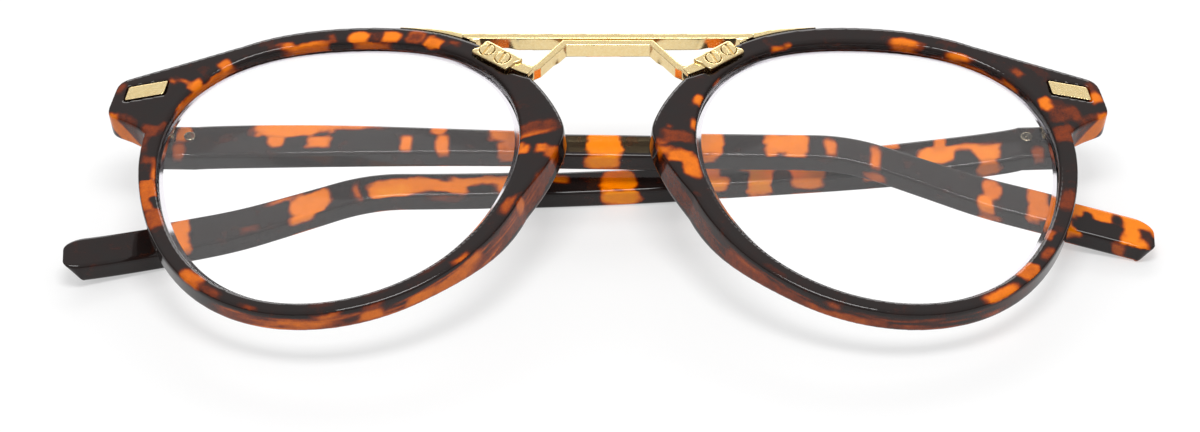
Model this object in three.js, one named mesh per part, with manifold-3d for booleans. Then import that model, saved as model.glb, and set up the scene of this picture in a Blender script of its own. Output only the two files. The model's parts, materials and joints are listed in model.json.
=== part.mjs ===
import * as THREE from "three";
import { mergeVertices } from "three/addons/utils/BufferGeometryUtils.js";
import Module from "manifold-3d";

const wasm = await Module();
wasm.setup();

// Round reading glasses, folded, lying on their temples. Millimetres.
// The front is drawn with X to the viewer's right, Y to the brow and Z out of the front.

// Front
const lensGap = 26.375;
const wrapAngle = 6;
const clearance = 0.25;
const overshoot = 3;

// Lens opening: a circle drawn slightly out of round, angles from the nose side towards the brow
const openingRadius = 26.35;
const openingRise = 0.67;
const openingRiseAt = 112;
const openingOval = 0.39;
const openingOvalAt = 24;
const openingTriad = 1.0;
const openingTriadAt = 22;
const openingSquare = 0.41;
const openingSquareAt = 45;

// Rim section
const rimWall = 3.0;
const rimWallRise = 0.4;
const rimWallRiseAt = 60;
const rimDepth = 3.6;
const rimEdge = 0.45;
const rimBevel = 0.5;
const grooveDepth = 0.8;
const grooveWidth = 1.4;
const grooveMiddle = 2.25;
const noseSwell = 3.35;
const noseSwellAt = 7.5;
const noseSwellUp = 36;
const noseSwellDown = 22;
const noseFallUp = 1.8;
const noseFallDown = 1.25;
const noseSoft = 3;
const rimStations = 72;

// Nose pad, moulded with the rim
const padAt = -20;
const padSpan = 42;
const padDepth = 5.5;
const padFlare = 0.25;
const padThickness = 2.2;

// End piece at the temple side of each rim, laid out from a point on the rim's outside
const endAt = 150;
const endDepth = 4.7;
const endTopOut = 6.36;
const endTopUp = 5.46;
const endTipOut = 7.86;
const endTipDown = 1.34;
const endFootOut = 2.16;
const endFootDown = 4.44;
const endCorner = 1.6;
const endBevel = 0.4;
const endSink = 0.11;
const endTangentAt = 114;
const endMergeAt = 162;
const endTurnStep = 4;

// Metal inlay in the end piece
const inlayLength = 5.8;
const inlayHeight = 2.5;
const inlayThickness = 0.6;
const inlayCorner = 0.3;
const inlaySlant = 0.35;
const inlayTurn = 8;
const inlayOut = 2.06;
const inlayUp = 3.06;

// Lens
const lensEdge = 1.3;
const lensFrontSag = 1.6;
const lensBackSag = 1.2;
const lensSlack = 0.325;
const lensSteps = [0.35, 0.7];

// Brow bar, laid out from the rim's outside where its arms begin
const barThickness = 1.05;
const barDepth = 2.1;
const barRise = 1.44;
const barSetback = 0.24;
const barLap = 1.7;
const armFrom = 50;
const armTo = 73;
const armSteps = 8;
const armFront = -0.4;
const armTipThickness = 0.45;
const armPinAt = 66;
const pinRadius = 0.5;
const pinDepth = 1.7;

// Lower bridge, with a plate on the front of each rim
const stripThickness = 1.05;
const stripDepth = 2.1;
const stripSetback = 0.035;
const stripRise = 3.25;
const legRun = 4.6;
const troughRun = 5.23;
const troughDrop = 2.1;
const bendRun = 0.8;
const bendRise = 0.5;
const plateAt = 40.36;
const plateInset = 0.784;
const plateTurn = -40;
const plateLength = 6.5;
const plateWidth = 3.1;
const plateThickness = 1.25;
const plateProud = 0.7;
const plateCorner = 0.6;
const plateBevel = 0.15;
const lipLength = 3.4;
const lipHalf = 1.05;
const lipLow = 0.21;
const lipHigh = 1.26;
const lipCorner = 0.3;
const lipStep = 0.45;
const screwPitch = 3.0;
const screwShift = 0.4;
const screwHeadRadius = 1.1;
const screwHeadHeight = 0.45;
const screwSeat = 0.5;
const screwShankRadius = 0.5;
const screwDepth = 2.6;
const screwSlotWidth = 0.35;
const screwSlotDepth = 0.25;
const outerSlotTurn = 60;
const innerSlotTurn = 105;

// Hinges, three knuckles each
const hingeOut = 1.306;
const hingeUp = 0.062;
const hingeSetback = 1.74;
const knuckleRadius = 1.15;
const knuckleHeight = 1.3;
const knuckleGap = 0.2;
const hingePinRadius = 0.5;
const leafThickness = 0.85;
const leafHeight = 4.4;
const frontLeafHalf = 2.6;
const webWidth = 1.5;
const templeLeafFrom = 1.2;
const templeLeafTo = 7.2;
const templeLeafHeight = 3.0;
const templeLeafCover = 0.75;
const rivetRadius = 0.45;
const rivetHeadRadius = 0.85;
const rivetHeadHeight = 0.3;
const frontRivetX = 1.8;
const templeRivetX = 5.0;
const frontRivetReach = 2.6;
const templeRivetReach = 2.2;
const hingeHeadRadius = 1.035;
const hingeHeadHeight = 0.5;
const hingeSlotDepth = 0.2;

// Temples
const templeLength = 146.5;
const templeThickness = 3.2;
const templeDrop = 0.6;
const templeInset = 1.2;
const templeButt = 1.25;
const templeMitre = 8;
const rootHeight = 6.3;
const middleHeight = 4.7;
const tipHeight = 6.0;
const rootEnd = 14;
const middleFrom = 58;
const middleTo = 92;
const tipFrom = 132;
const templeEdge = 0.6;
const tipRound = 3;
const tipBlunt = 0.45;
const tipMitre = 38;
const hookLead = 36.24;
const hookBend = 10;
const hookRun = 10;
const hookRelax = 8;
const hookSteep = 0.42;
const hookSlope = 0.29;
const bowFrom = 6;
const bowFullness = 0.75;
const leftLean = 1.45;
const leftBow = -1.5;
const rightLean = 2.7;
const rightBow = 4.7;

const rad = THREE.MathUtils.degToRad;
const { Vector2, Vector3, Matrix4 } = THREE;

const materials = {
  tortoise: { color: "#3a1d0e", roughness: 0.16, metalness: 0 },
  gold: { color: "#dcc07a", roughness: 0.2, metalness: 1 },
  steel: { color: "#c8bfae", roughness: 0.3, metalness: 1 },
  lens: { color: "#e9eef0", roughness: 0.05, metalness: 0, transparent: true, opacity: 0.35 },
};

// Solids
function flip(geometry) {
  const index = geometry.index.array;
  for (let i = 0; i < index.length; i += 3) [index[i + 1], index[i + 2]] = [index[i + 2], index[i + 1]];
  return geometry;
}

function solidOf(geometry) {
  const bare = geometry.clone();
  bare.deleteAttribute("normal");
  bare.deleteAttribute("uv");
  const merged = mergeVertices(bare, 1e-4);
  const mesh = new wasm.Mesh({
    numProp: 3,
    vertProperties: new Float32Array(merged.attributes.position.array),
    triVerts: new Uint32Array(merged.index.array),
  });
  return new wasm.Manifold(mesh);
}

function geometryOf(solid) {
  const mesh = solid.getMesh();
  const geometry = new THREE.BufferGeometry();
  geometry.setAttribute("position", new THREE.BufferAttribute(new Float32Array(mesh.vertProperties), 3));
  geometry.setIndex(new THREE.BufferAttribute(new Uint32Array(mesh.triVerts), 1));
  return geometry;
}

// A geometry moved by a matrix, with its faces kept outward when the matrix mirrors it
function moved(geometry, matrix) {
  const bare = geometry.clone();
  bare.deleteAttribute("normal");
  bare.deleteAttribute("uv");
  const merged = mergeVertices(bare, 1e-4).applyMatrix4(matrix);
  return matrix.determinant() < 0 ? flip(merged) : merged;
}

const placed = (geometry, matrix) => solidOf(moved(geometry, matrix));

// A surface through equal sections: closed on itself, or capped at both ends
function skin(sections, ring = false) {
  const count = sections[0].length;
  const last = ring ? sections.length : sections.length - 1;
  const index = [];
  for (let i = 0; i < last; i++) {
    const a = i * count;
    const b = ((i + 1) % sections.length) * count;
    for (let j = 0; j < count; j++) {
      const k = (j + 1) % count;
      index.push(a + j, a + k, b + k, a + j, b + k, b + j);
    }
  }
  if (!ring) {
    const end = (sections.length - 1) * count;
    for (let j = 1; j < count - 1; j++) index.push(0, j + 1, j, end, end + j, end + j + 1);
  }
  const geometry = new THREE.BufferGeometry().setFromPoints(sections.flat());
  geometry.setIndex(index);
  return geometry;
}

// An outline drawn on X and Y, raised from one height to another
function raised(shape, from, to, bevel = 0) {
  const geometry = new THREE.ExtrudeGeometry(shape, {
    depth: to - from - 2 * bevel,
    bevelEnabled: bevel > 0,
    bevelSize: bevel,
    bevelOffset: -bevel,
    bevelThickness: bevel,
    bevelSegments: 2,
    curveSegments: 4,
  });
  return geometry.translate(0, 0, from + bevel);
}

function box(x0, x1, y0, y1, z0, z1) {
  const geometry = new THREE.BoxGeometry(x1 - x0, y1 - y0, z1 - z0);
  return geometry.translate((x0 + x1) / 2, (y0 + y1) / 2, (z0 + z1) / 2);
}

// A round bar along Y, or along Z
const barAlongY = (radius, from, to, sides = 16) =>
  new THREE.CylinderGeometry(radius, radius, to - from, sides).translate(0, (from + to) / 2, 0);
const barZ = (radius, from, to, sides = 14) => barAlongY(radius, from, to, sides).rotateX(Math.PI / 2);

// An outline with its corners rounded off
function roundedShape(corners, radius) {
  const shape = new THREE.Shape();
  corners.forEach((corner, i) => {
    const before = corners[(i + corners.length - 1) % corners.length];
    const after = corners[(i + 1) % corners.length];
    const arrive = before.clone().sub(corner).setLength(radius).add(corner);
    const leave = after.clone().sub(corner).setLength(radius).add(corner);
    if (i === 0) shape.moveTo(arrive.x, arrive.y);
    else shape.lineTo(arrive.x, arrive.y);
    shape.quadraticCurveTo(corner.x, corner.y, leave.x, leave.y);
  });
  return shape;
}

// Outlines of the rim
const wave = (angle, times, at) => Math.cos(times * (angle - rad(at)));

function openingAt(angle) {
  const round = openingRadius + openingRise * wave(angle, 1, openingRiseAt);
  const oval = openingOval * wave(angle, 2, openingOvalAt) + openingTriad * wave(angle, 3, openingTriadAt);
  return round + oval + openingSquare * wave(angle, 4, openingSquareAt);
}

const turnFrom = (angle, at) => {
  const turn = THREE.MathUtils.radToDeg(angle) - at;
  return ((((turn + 180) % 360) + 360) % 360) - 180;
};
const bump = (turn, span) => (Math.abs(turn) < span ? 0.5 + 0.5 * Math.cos((Math.PI * turn) / span) : 0);

// The wall swells to a blunt corner on the nose side
function wallAt(angle) {
  const turn = turnFrom(angle, noseSwellAt);
  const [span, fall] = turn > 0 ? [noseSwellUp, noseFallUp] : [noseSwellDown, noseFallDown];
  const share = Math.max(0, 1 - (Math.hypot(turn, noseSoft) - noseSoft) / span);
  return rimWall + rimWallRise * wave(angle, 1, rimWallRiseAt) + noseSwell * share ** fall;
}

const outerAt = (angle) => openingAt(angle) + wallAt(angle);
const polar = (radius, angle) => new Vector2(radius * Math.cos(angle), radius * Math.sin(angle));

// A rim's own plane, U to the nose and V to the brow, for the viewer's left side; the right side mirrors it
const lensCentreX = lensGap / 2 + openingAt(0) * Math.cos(rad(wrapAngle));
const mirror = new Matrix4().makeScale(-1, 1, 1);
const rimPlane = new Matrix4().makeRotationY(-rad(wrapAngle)).setPosition(-lensCentreX, 0, 0);
const sideOf = { left: new Matrix4(), right: mirror };
const onRim = (side) => sideOf[side].clone().multiply(rimPlane);
const onOutside = (turn, inset = 0) => polar(outerAt(rad(turn)) - inset, rad(turn));
const inFront = (point, w = 0) => new Vector3(point.x, point.y, w).applyMatrix4(rimPlane);

// Places on the end piece
const endRoot = onOutside(endAt);
const fromEnd = (out, up) => new Vector2(endRoot.x - out, endRoot.y + up);

// The rim: a grooved section carried round the opening, swelling to a pad on the nose side
function rimSection(angle) {
  const inner = openingAt(angle);
  const wall = wallAt(angle);
  const pad = bump(turnFrom(angle, padAt), padSpan);
  const back = rimDepth + (padDepth - rimDepth) * pad;
  const backWall = wall + padFlare * pad;
  const backInner = rimBevel + (backWall - padThickness - rimBevel) * pad;
  const soft = rimEdge * (1 - Math.SQRT1_2);
  const profile = [
    [rimBevel, 0],
    [wall - rimEdge, 0],
    [wall - soft, -soft],
    [wall, -rimEdge],
    [backWall, rimEdge - back],
    [backWall - soft, soft - back],
    [backWall - rimEdge, -back],
    [backInner, -back],
    [0, -rimDepth + rimBevel * (1 - pad)],
    [0, -grooveMiddle - grooveWidth / 2],
    [grooveDepth, -grooveMiddle],
    [0, -grooveMiddle + grooveWidth / 2],
    [0, -rimBevel],
  ];
  return profile.map(([out, w]) => {
    const point = polar(inner + out, angle);
    return new Vector3(point.x, point.y, w);
  });
}

function rimRing() {
  const sections = [];
  for (let i = 0; i < rimStations; i++) sections.push(rimSection((2 * Math.PI * i) / rimStations));
  return skin(sections, true);
}

// The end piece runs tangent from the rim's top edge out to a slanted tip
function endPiece() {
  const start = onOutside(endTangentAt, endSink);
  const top = fromEnd(endTopOut, endTopUp);
  const tip = fromEnd(endTipOut, -endTipDown);
  const foot = fromEnd(endFootOut, -endFootDown);
  const near = (corner, other) => other.clone().sub(corner).setLength(endCorner).add(corner);
  const shape = new THREE.Shape().moveTo(start.x, start.y);
  [[start, top, tip], [top, tip, foot]].forEach(([before, corner, after]) => {
    const arrive = near(corner, before);
    const leave = near(corner, after);
    shape.lineTo(arrive.x, arrive.y);
    shape.quadraticCurveTo(corner.x, corner.y, leave.x, leave.y);
  });
  const merge = onOutside(endMergeAt, rimEdge);
  shape.quadraticCurveTo(foot.x, foot.y, merge.x, merge.y);
  for (let turn = endMergeAt; turn >= endTangentAt; turn -= endTurnStep) {
    const point = polar(openingAt(rad(turn)) + rimWall / 2, rad(turn));
    shape.lineTo(point.x, point.y);
  }
  return raised(shape, -endDepth, 0, endBevel);
}

// The space that the rim's outside takes up, with a clearance, for the metal that lies against it
function rimEnvelope() {
  const shape = new THREE.Shape();
  for (let i = 0; i < rimStations; i++) {
    const angle = (2 * Math.PI * i) / rimStations;
    const point = polar(outerAt(angle) + clearance, angle);
    if (i === 0) shape.moveTo(point.x, point.y);
    else shape.lineTo(point.x, point.y);
  }
  return raised(shape, -2 * endDepth, endDepth);
}

function inlayShape(margin) {
  const half = inlayLength / 2 + margin;
  const high = inlayHeight / 2 + margin;
  const slant = inlaySlant * inlayHeight;
  const corners = [
    new Vector2(-half - slant / 2, -high),
    new Vector2(half - slant / 2, -high),
    new Vector2(half + slant / 2, high),
    new Vector2(-half + slant / 2, high),
  ];
  return roundedShape(corners, inlayCorner);
}

const inlaySpot = fromEnd(inlayOut, inlayUp);
const inlayPlace = new Matrix4().makeRotationZ(rad(inlayTurn)).setPosition(inlaySpot.x, inlaySpot.y, 0);

// The lens: a meniscus with a bevelled edge that sits in the groove
function lensBody() {
  const front = -grooveMiddle + lensEdge / 2;
  const back = -grooveMiddle - lensEdge / 2;
  const ring = (share, out, w) => {
    const points = [];
    for (let i = 0; i < rimStations; i++) {
      const angle = (2 * Math.PI * i) / rimStations;
      const point = polar(share * (openingAt(angle) + out), angle);
      points.push(new Vector3(point.x, point.y, w));
    }
    return points;
  };
  const edge = -clearance;
  const sections = [
    ...lensSteps.map((share) => ring(share, edge, front + lensFrontSag * (1 - share * share))),
    ring(1, edge, front),
    ring(1, grooveDepth - lensSlack, -grooveMiddle),
    ring(1, edge, back),
    ...lensSteps.toReversed().map((share) => ring(share, edge, back + lensBackSag * (1 - share * share))),
  ];
  return flip(skin(sections));
}

// Bridge plate and its screws, in the plate's own place on the rim
const plateSpot = onOutside(plateAt, plateInset);
const platePlace = new Matrix4().makeRotationZ(rad(plateTurn)).setPosition(plateSpot.x, plateSpot.y, 0);
const plateBack = plateProud - plateThickness;
const screwSpots = [-screwPitch / 2 - screwShift, screwPitch / 2 - screwShift];

function plateShape(margin) {
  const half = plateLength / 2 + margin;
  const wide = plateWidth / 2 + margin;
  const corners = [[-half, -wide], [half, -wide], [half, wide], [-half, wide]];
  return roundedShape(corners.map(([x, y]) => new Vector2(x, y)), plateCorner);
}

// The lip leads from the plate's nose end over the rim's edge to the strip
function lipShape(margin) {
  const wide = lipHalf + margin;
  const from = plateLength / 2 - plateCorner;
  const to = from + lipLength + margin;
  const corners = [[from, -wide], [to, -lipLow - margin], [to, lipHigh + margin], [from, wide]];
  return roundedShape(corners.map(([x, y]) => new Vector2(x, y)), lipCorner);
}

// A flat strip bent along a path on X and Y, of equal thickness
function stripShape(path, thickness) {
  const half = thickness / 2;
  const offset = (sign) =>
    path.map((point, i) => {
      const before = path[Math.max(i - 1, 0)];
      const after = path[Math.min(i + 1, path.length - 1)];
      const arrive = i === 0 ? after.clone().sub(point) : point.clone().sub(before);
      const leave = i === path.length - 1 ? arrive.clone() : after.clone().sub(point);
      const middle = arrive.normalize().add(leave.normalize()).normalize();
      const reach = half / Math.max(0.5, middle.dot(leave));
      return new Vector2(point.x - sign * middle.y * reach, point.y + sign * middle.x * reach);
    });
  return new THREE.Shape([...offset(1), ...offset(-1).reverse()]);
}

// Lower bridge: a level strip between two sloping legs, each ending in a plate
function bridgeBody() {
  const plateCentre = inFront(plateSpot);
  const stripFront = plateCentre.z - stripSetback;
  const troughX = -plateCentre.x - troughRun;
  const troughY = plateCentre.y - troughDrop;
  const half = [
    new Vector2(troughX - legRun, plateCentre.y + stripRise),
    new Vector2(troughX - bendRun, troughY + bendRise),
    new Vector2(troughX, troughY),
    new Vector2(troughX + bendRun, troughY + bendRise / 2),
  ];
  const path = [...half.toReversed().map((p) => new Vector2(-p.x, p.y)), ...half];
  let body = solidOf(raised(stripShape(path, stripThickness), stripFront - stripDepth, stripFront));
  for (const side of ["left", "right"]) {
    body = body.subtract(placed(rimEnvelope(), onRim(side)));
    const place = onRim(side).multiply(platePlace);
    body = body.add(placed(raised(plateShape(0), plateBack, plateProud, plateBevel), place));
    body = body.add(placed(raised(lipShape(0), plateBack, plateProud - lipStep), place));
    for (const spot of screwSpots) {
      const hole = barZ(screwShankRadius + clearance, -screwDepth, overshoot).translate(spot, 0, 0);
      const seatRadius = screwHeadRadius + clearance / 2;
      const seat = barZ(seatRadius, plateProud - screwSeat, overshoot, 20).translate(spot, 0, 0);
      body = body.subtract(placed(hole, place)).subtract(placed(seat, place));
    }
  }
  return body;
}

// A slotted screw whose head lies in its seat in the plate
function slottedScrew() {
  const top = clearance / 2 + screwHeadHeight;
  const head = barZ(screwHeadRadius, clearance / 2, top, 20);
  const shank = barZ(screwShankRadius, screwSeat - plateProud - screwDepth, clearance, 14);
  const half = screwSlotWidth / 2;
  const slot = box(-overshoot, overshoot, -half, half, top - screwSlotDepth, top + overshoot);
  return geometryOf(solidOf(head).add(solidOf(shank)).subtract(solidOf(slot)));
}

const screwPlace = (side, spot, slotTurn) =>
  onRim(side)
    .multiply(platePlace)
    .multiply(new Matrix4().makeTranslation(spot, 0, plateProud - screwSeat))
    .multiply(new Matrix4().makeRotationZ(rad(slotTurn)));

// Brow bar: a straight bar whose arms follow the top edges of both rims
function browArm() {
  const inside = [];
  const outside = [];
  for (let i = 0; i <= armSteps; i++) {
    const turn = armFrom + ((armTo - armFrom) * i) / armSteps;
    const thick = barThickness + ((armTipThickness - barThickness) * i) / armSteps;
    inside.push(onOutside(turn, -clearance));
    outside.unshift(onOutside(turn, -clearance - thick));
  }
  return raised(new THREE.Shape([...inside, ...outside]), armFront - barDepth, armFront);
}

const pinPlace = new Matrix4()
  .makeRotationZ(rad(armPinAt))
  .multiply(new Matrix4().makeTranslation(outerAt(rad(armPinAt)), 0, armFront - barDepth / 2))
  .multiply(new Matrix4().makeRotationZ(-Math.PI / 2));

function browBody() {
  const armStart = inFront(onOutside(armFrom));
  const barHalf = -armStart.x + barLap;
  const barFront = armStart.z - barSetback;
  const low = armStart.y + barRise - barThickness / 2;
  let body = solidOf(box(-barHalf, barHalf, low, low + barThickness, barFront - barDepth, barFront));
  for (const side of ["left", "right"]) {
    body = body.add(placed(browArm(), onRim(side))).subtract(placed(rimEnvelope(), onRim(side)));
    const hole = barAlongY(pinRadius + clearance, -pinDepth, overshoot);
    body = body.subtract(placed(hole, onRim(side).multiply(pinPlace)));
  }
  return body;
}

// Hinge place: X along the folded temple, Y along the pin, Z to the front
const hingeCentre = inFront(fromEnd(hingeOut, hingeUp), -endDepth - hingeSetback);
const hingePlace = (side, lean) =>
  sideOf[side].clone().multiply(new Matrix4().makeRotationZ(-rad(lean)).setPosition(hingeCentre));
const leafTurn = new Matrix4().makeRotationY(-rad(wrapAngle));
const pitch = knuckleHeight + knuckleGap;
const bushing = hingePinRadius + clearance;

function frontLeaf() {
  const half = leafHeight / 2;
  const front = hingeSetback + leafThickness;
  let body = placed(box(-frontLeafHalf, frontLeafHalf, -half, half, hingeSetback, front), leafTurn);
  for (const step of [-pitch, pitch]) {
    const low = step - knuckleHeight / 2;
    body = body.add(solidOf(barAlongY(knuckleRadius, low, low + knuckleHeight)));
    const web = box(-webWidth / 2, webWidth / 2, low, low + knuckleHeight, 0, front - leafThickness / 2);
    body = body.add(placed(web, leafTurn));
  }
  body = body.subtract(solidOf(barAlongY(bushing, -leafHeight, leafHeight)));
  const hole = barZ(rivetRadius + clearance, 0, front + overshoot).translate(frontRivetX, 0, 0);
  return body.subtract(placed(hole, leafTurn));
}

function frontLeafPocket() {
  const half = leafHeight / 2 + clearance;
  const wide = frontLeafHalf + clearance;
  const pocket = placed(box(-wide, wide, -half, half, 0, hingeSetback + leafThickness + clearance), leafTurn);
  const end = hingeSetback + frontRivetReach + clearance;
  const hole = barZ(rivetRadius + clearance, 0, end).translate(frontRivetX, 0, 0);
  return pocket.add(placed(hole, leafTurn));
}

function rivet(reach) {
  const shank = barZ(rivetRadius, -reach, rivetHeadHeight / 2, 12);
  return geometryOf(solidOf(shank).add(solidOf(barZ(rivetHeadRadius, 0, rivetHeadHeight, 16))));
}

function templeLeaf() {
  const half = templeLeafHeight / 2;
  const high = knuckleHeight / 2;
  const top = -templeInset - templeLeafCover;
  const plate = box(templeLeafFrom, templeLeafTo, -half, half, top - leafThickness, top);
  const web = box(0, templeLeafFrom + webWidth, -high, high, top - leafThickness / 2, -knuckleRadius / 2);
  const hole = barZ(rivetRadius + clearance, top - overshoot, 0).translate(templeRivetX, 0, 0);
  let body = solidOf(plate).add(solidOf(web)).add(solidOf(barAlongY(knuckleRadius, -high, high)));
  body = body.subtract(solidOf(barAlongY(bushing, -leafHeight, leafHeight)));
  return body.subtract(solidOf(hole));
}

function hingeScrew() {
  const top = pitch + knuckleHeight / 2;
  const head = barAlongY(hingeHeadRadius, top + clearance / 2, top + hingeHeadHeight, 16);
  const shank = barAlongY(hingePinRadius, -top, top + clearance, 14);
  const floor = top + hingeHeadHeight - hingeSlotDepth;
  const slot = box(-overshoot, overshoot, floor, top + overshoot, -screwSlotWidth / 2, screwSlotWidth / 2);
  return solidOf(head).add(solidOf(shank)).subtract(solidOf(slot));
}

// Temple: lofted along its length, tapering, hooked for the ear below the other temple's hinge
const hookFrom = -2 * hingeCentre.x - hookLead;
const hookEase = hookFrom + hookBend + hookRun;
const hookEnd = hookEase + hookRelax;
const ease = (value, from, to) => THREE.MathUtils.smoothstep(value, from, to);

function heightAt(s) {
  const taper = rootHeight + (middleHeight - rootHeight) * ease(s, rootEnd, middleFrom);
  return taper + (tipHeight - middleHeight) * ease(s, middleTo, tipFrom);
}

function hookAt(s) {
  const ramp = (from, length) => {
    const run = THREE.MathUtils.clamp(s - from, 0, length);
    return run ** 2 / (2 * length) + Math.max(0, s - from - length);
  };
  return hookSteep * ramp(hookFrom, hookBend) - (hookSteep - hookSlope) * ramp(hookEase, hookRelax);
}

function bowAt(s, bow) {
  const share = Math.max(0, (s - bowFrom) / (templeLength - bowFrom));
  return bow * (4 * share * (1 - share)) ** bowFullness;
}

function templeSection(s, bow, share, mitre) {
  const half = (heightAt(s) / 2) * share;
  const thick = (templeThickness / 2) * Math.sqrt(share);
  const edge = templeEdge * share;
  const middle = -templeInset - templeThickness / 2 - bowAt(s, bow);
  const soft = edge * (1 - Math.SQRT1_2);
  const corner = [[half - edge, thick], [half - soft, thick - soft], [half, thick - edge]];
  const turned = (y, z) => corner.map((point) => [y * point[0], z * point[1]]);
  const outline = [
    ...turned(-1, -1).reverse(), ...turned(1, -1), ...turned(1, 1).reverse(), ...turned(-1, 1),
  ];
  const drop = templeDrop + hookAt(s);
  return outline.map(([y, z]) => new Vector3(s + mitre * (thick - z), y - drop, middle + z));
}

const stations = (from, to, count) =>
  Array.from({ length: count }, (_, i) => from + ((to - from) * i) / count);

function templeBody(bow) {
  const tipStart = templeLength - tipRound;
  const along = [
    ...stations(templeLeafFrom + webWidth, rootEnd, 2),
    ...stations(rootEnd, hookFrom, 11),
    ...stations(hookFrom, hookEnd, 7),
    ...stations(hookEnd, tipStart, 3),
  ];
  const sections = [templeSection(-templeButt, bow, 1, Math.tan(rad(templeMitre)))];
  for (const s of along) sections.push(templeSection(s, bow, 1, 0));
  for (const turn of [0, 30, 60, 90]) {
    const s = tipStart + tipRound * Math.sin(rad(turn));
    const slant = -Math.tan(rad(tipMitre)) * Math.sin(rad(turn));
    sections.push(templeSection(s, bow, tipBlunt + (1 - tipBlunt) * Math.cos(rad(turn)), slant));
  }
  const half = templeLeafHeight / 2 + clearance;
  const high = knuckleHeight / 2 + clearance;
  const face = -templeInset;
  const top = face - templeLeafCover;
  const butt = -templeButt - overshoot;
  const under = top - leafThickness - clearance;
  const slot = box(butt, templeLeafTo + clearance, -half, half, under, top + clearance);
  const notch = box(butt, templeLeafFrom + webWidth + clearance, -high, high, top, face + overshoot);
  const knuckles = barAlongY(knuckleRadius + clearance, -leafHeight, leafHeight, 20);
  const depth = face - templeRivetReach - clearance;
  const hole = barZ(rivetRadius + clearance, depth, face + overshoot).translate(templeRivetX, 0, 0);
  const cuts = [slot, notch, knuckles, hole];
  return cuts.reduce((body, cut) => body.subtract(solidOf(cut)), solidOf(skin(sections)));
}

// The pieces, on a group that is then laid down as the glasses rest
const glasses = new THREE.Group();

function piece(name, solid, matrix, material) {
  const geometry = moved(solid.isBufferGeometry ? solid : geometryOf(solid), matrix);
  const flat = geometry.toNonIndexed();
  flat.computeVertexNormals();
  const mesh = new THREE.Mesh(flat, new THREE.MeshStandardMaterial(materials[material]));
  mesh.name = name;
  glasses.add(mesh);
  return mesh;
}

const still = new Matrix4();
const leans = { left: [leftLean, leftBow], right: [rightLean, rightBow] };
const temples = {};

for (const side of ["left", "right"]) {
  const [lean, bow] = leans[side];
  const hinge = hingePlace(side, lean);
  const rim = onRim(side);
  const plate = rim.clone().multiply(platePlace);
  const inlay = rim.clone().multiply(inlayPlace);

  let body = placed(rimRing(), rim).add(placed(endPiece(), rim));
  body = body.subtract(placed(raised(inlayShape(clearance), -inlayThickness - clearance, overshoot), inlay));
  body = body.subtract(placed(raised(plateShape(clearance), plateBack - clearance, overshoot), plate));
  body = body.subtract(placed(raised(lipShape(clearance), plateBack - clearance, overshoot), plate));
  for (const spot of screwSpots) {
    const hole = barZ(screwShankRadius + clearance, -screwDepth - clearance, overshoot).translate(spot, 0, 0);
    body = body.subtract(placed(hole, plate));
  }
  const pinHole = barAlongY(pinRadius + clearance, -pinDepth - clearance, overshoot);
  body = body.subtract(placed(pinHole, rim.clone().multiply(pinPlace)));
  body = body.subtract(placed(geometryOf(frontLeafPocket()), hinge));
  piece(`${side}_rim`, body, still, "tortoise");
  piece(`${side}_lens`, lensBody(), rim, "lens");
  piece(`${side}_inlay`, raised(inlayShape(0), -inlayThickness, 0), inlay, "gold");
  piece(`${side}_outer_bridge_screw`, slottedScrew(), screwPlace(side, screwSpots[0], outerSlotTurn), "gold");
  piece(`${side}_inner_bridge_screw`, slottedScrew(), screwPlace(side, screwSpots[1], innerSlotTurn), "gold");
  const pin = barAlongY(pinRadius, -pinDepth, clearance + barThickness / 2, 12);
  piece(`${side}_brow_pin`, pin, rim.clone().multiply(pinPlace), "gold");
  piece(`${side}_front_hinge_leaf`, frontLeaf(), hinge, "steel");
  piece(`${side}_hinge_screw`, hingeScrew(), hinge, "steel");
  const frontRivet = leafTurn.clone().multiply(
    new Matrix4().makeRotationY(Math.PI).setPosition(frontRivetX, 0, hingeSetback - clearance / 2),
  );
  piece(`${side}_front_hinge_rivet`, rivet(frontRivetReach), hinge.clone().multiply(frontRivet), "steel");
  temples[side] = piece(`${side}_temple`, templeBody(bow), hinge, "tortoise");
  piece(`${side}_temple_hinge_leaf`, templeLeaf(), hinge, "steel");
  const templeRivet = new Matrix4().makeTranslation(templeRivetX, 0, -templeInset + clearance / 2);
  piece(`${side}_temple_hinge_rivet`, rivet(templeRivetReach), hinge.clone().multiply(templeRivet), "steel");
}
piece("bridge", bridgeBody(), still, "gold");
piece("brow_bar", browBody(), still, "gold");

// The folded glasses rest on both temple tips and on the middle of the outer temple
const pointsOf = (mesh, keep) => {
  const position = mesh.geometry.attributes.position;
  const points = [];
  for (let i = 0; i < position.count; i++) points.push(new Vector3().fromBufferAttribute(position, i));
  return points.filter(keep);
};
const feet = [
  pointsOf(temples.left, (p) => p.x > lensCentreX),
  pointsOf(temples.right, (p) => p.x < -lensCentreX),
  pointsOf(temples.right, (p) => Math.abs(p.x) < lensCentreX),
];
const up = new Vector3(0, 0, 1);
for (let round = 0; round < 12; round++) {
  const low = feet.map((points) => points.reduce((a, b) => (b.dot(up) < a.dot(up) ? b : a)));
  up.crossVectors(low[1].clone().sub(low[0]), low[2].clone().sub(low[0])).normalize();
  if (up.z < 0) up.negate();
}
const along = new Vector3(1, 0, 0).addScaledVector(up, -up.x).normalize();
const across = new Vector3().crossVectors(up, along);
glasses.applyMatrix4(new Matrix4().makeBasis(along, across, up).transpose());
glasses.updateMatrixWorld(true);
const bounds = new THREE.Box3().setFromObject(glasses, true);
const middle = bounds.getCenter(new Vector3());
glasses.position.sub(new Vector3(middle.x, middle.y, bounds.min.z));

const group = new THREE.Group();
group.add(glasses);
export default group;
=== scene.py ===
import bpy
import json
import math
import numpy as np
from mathutils import Matrix, Vector, noise


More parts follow.
